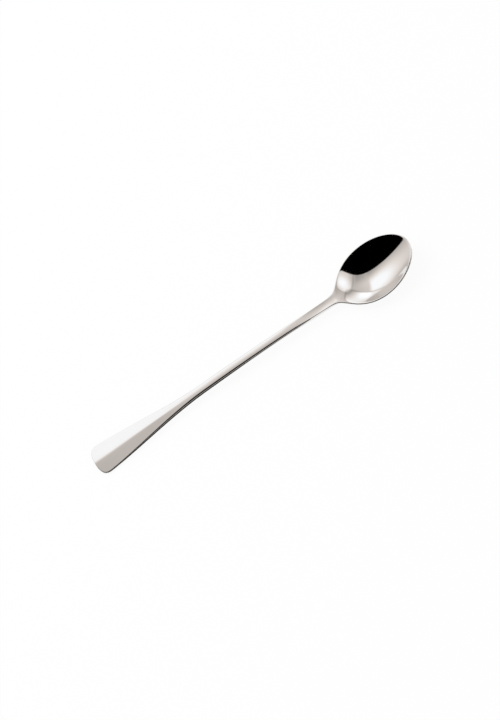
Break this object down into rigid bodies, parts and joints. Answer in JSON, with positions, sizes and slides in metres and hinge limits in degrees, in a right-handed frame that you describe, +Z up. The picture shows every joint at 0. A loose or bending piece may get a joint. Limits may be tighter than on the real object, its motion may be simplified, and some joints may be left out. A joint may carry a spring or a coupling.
{
  "type": "iced tea spoon",
  "caption": "Long-handled iced tea spoon of polished stainless steel: oval bowl, slim stem, and a rounded handle end with a ridge down its middle.",
  "frame": {"origin": "on the table that the spoon lies on, under the middle of its bounding box", "axes": "+X along the spoon from the handle's end to the bowl's tip, +Z up out of the hollow of the bowl, +Y to the left of +X"},
  "size_m": [0.2, 0.0318, 0.014],
  "materials": {
    "polished_steel": "mirror polish, with faint marks of the polishing wheel along the length"
  },
  "bodies": {
    "root": {"spoon": "polished_steel"}
  },
  "joints": []
}
